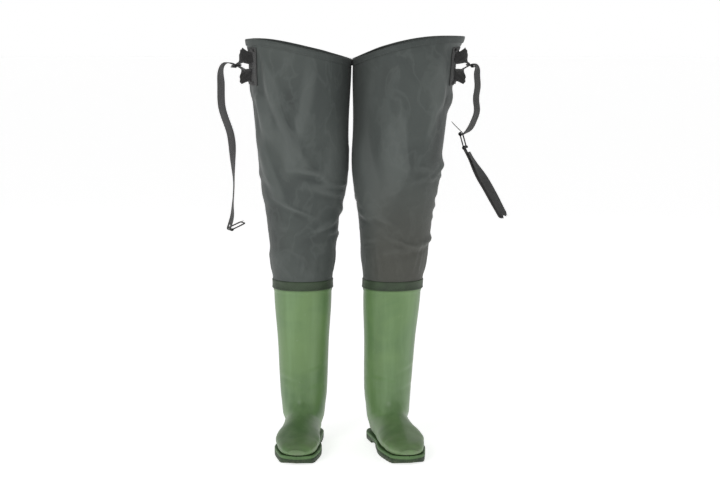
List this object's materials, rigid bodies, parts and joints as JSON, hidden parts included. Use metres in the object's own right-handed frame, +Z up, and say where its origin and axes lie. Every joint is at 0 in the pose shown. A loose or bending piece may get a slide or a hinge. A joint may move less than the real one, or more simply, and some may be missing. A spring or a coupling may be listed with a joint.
{
  "type": "hip waders",
  "caption": "Pair of hip waders: moulded green boots with coated-fabric legs welded on, an open slanted top, and a webbing hip strap with a prong buckle.",
  "frame": {"origin": "bottom centre of the pair's bounding box, on the floor", "axes": "+Z up along the legs, toes towards -Y, the wearer's right wader at -X"},
  "size_m": [0.6192, 0.3516, 0.898],
  "materials": {
    "boot_pvc": "semi-gloss moulded green PVC",
    "sole_pvc": "matt dark green PVC",
    "insole_felt": "grey needle felt",
    "lining_knit": "grey polyester knit",
    "leg_fabric": "PVC-coated grey-green polyester, satin",
    "hem_fabric": "folded coated fabric, slightly paler",
    "weld_band": "dark green welded tape",
    "webbing": "black woven polypropylene webbing",
    "black_wire": "black-coated steel wire"
  },
  "bodies": {
    "right_boot": {"right_boot_upper": "boot_pvc", "right_boot_lining": "lining_knit", "right_insole": "insole_felt", "right_outsole": "sole_pvc", "right_shin_fabric": "leg_fabric", "right_shin_seam_tape": "leg_fabric", "right_joint_band": "weld_band"},
    "right_thigh": {"right_thigh_fabric": "leg_fabric", "right_knee_fabric": "leg_fabric", "right_thigh_seam_tape": "leg_fabric", "right_top_hem": "hem_fabric", "right_hip_patch": "webbing", "right_hip_tab": "webbing"},
    "right_ring": {"right_hip_ring": "black_wire"},
    "right_strap": {"right_hip_strap": "webbing"},
    "right_buckle": {"right_buckle_frame": "black_wire"},
    "right_prong": {"right_buckle_prong": "black_wire"},
    "left_boot": {"left_boot_upper": "boot_pvc", "left_boot_lining": "lining_knit", "left_insole": "insole_felt", "left_outsole": "sole_pvc", "left_shin_fabric": "leg_fabric", "left_shin_seam_tape": "leg_fabric", "left_joint_band": "weld_band"},
    "left_thigh": {"left_thigh_fabric": "leg_fabric", "left_knee_fabric": "leg_fabric", "left_thigh_seam_tape": "leg_fabric", "left_top_hem": "hem_fabric", "left_hip_patch": "webbing", "left_hip_tab": "webbing"},
    "left_ring": {"left_hip_ring": "black_wire"},
    "left_strap": {"left_hip_strap": "webbing"},
    "left_buckle": {"left_buckle_frame": "black_wire"},
    "left_prong": {"left_buckle_prong": "black_wire"},
    "left_tail": {"left_belt_loop": "webbing"}
  },
  "joints": [
    {"name": "right_knee_bend", "type": "hinge", "parent": "right_boot", "child": "right_thigh", "pos_m": [-0.13235, 0.05723, 0.5], "axis": [-1, 0, 0], "range_deg": [0, 60], "deforming": ["right_knee_fabric"]},
    {"name": "right_ring_swing", "type": "hinge", "parent": "right_thigh", "child": "right_ring", "pos_m": [-0.26406, -0.00114, 0.836], "axis": [-0.379, 0.9254, 0], "range_deg": [-5, 35]},
    {"name": "right_strap_swing", "type": "hinge", "parent": "right_ring", "child": "right_strap", "pos_m": [-0.27598, -0.00602, 0.83419], "axis": [-0.379, 0.9254, 0], "range_deg": [-6, 95]},
    {"name": "right_buckle_swing", "type": "hinge", "parent": "right_strap", "child": "right_buckle", "pos_m": [-0.28581, -0.01005, 0.48324], "axis": [-0.379, 0.9254, 0], "range_deg": [-8, 150]},
    {"name": "right_prong_turn", "type": "hinge", "parent": "right_buckle", "child": "right_prong", "pos_m": [-0.28581, -0.01005, 0.48324], "axis": [-0.379, 0.9254, 0], "range_deg": [-25, 0]},
    {"name": "left_knee_bend", "type": "hinge", "parent": "left_boot", "child": "left_thigh", "pos_m": [0.07383, 0.05723, 0.5], "axis": [-1, 0, 0], "range_deg": [0, 60], "deforming": ["left_knee_fabric"]},
    {"name": "left_ring_swing", "type": "hinge", "parent": "left_thigh", "child": "left_ring", "pos_m": [0.22659, 0.01866, 0.836], "axis": [-0.238, -0.9713, 0], "range_deg": [-2, 35]},
    {"name": "left_strap_swing", "type": "hinge", "parent": "left_ring", "child": "left_strap", "pos_m": [0.2391, 0.0156, 0.83419], "axis": [-0.238, -0.9713, 0], "range_deg": [-3, 95]},
    {"name": "left_buckle_swing", "type": "hinge", "parent": "left_strap", "child": "left_buckle", "pos_m": [0.21456, 0.02161, 0.68686], "axis": [-0.238, -0.9713, 0], "range_deg": [-10, 60]},
    {"name": "left_prong_turn", "type": "hinge", "parent": "left_buckle", "child": "left_prong", "pos_m": [0.21456, 0.02161, 0.68686], "axis": [-0.238, -0.9713, 0], "range_deg": [-25, 150]},
    {"name": "left_tail_swing", "type": "hinge", "parent": "left_buckle", "child": "left_tail", "pos_m": [0.22286, 0.01958, 0.65706], "axis": [-0.238, -0.9713, 0], "range_deg": [-28, 60]},
    {"name": "waders_apart", "type": "slide", "parent": "right_boot", "child": "left_boot", "axis": [1, 0, 0], "range_m": [0, 0.3]}
  ]
}
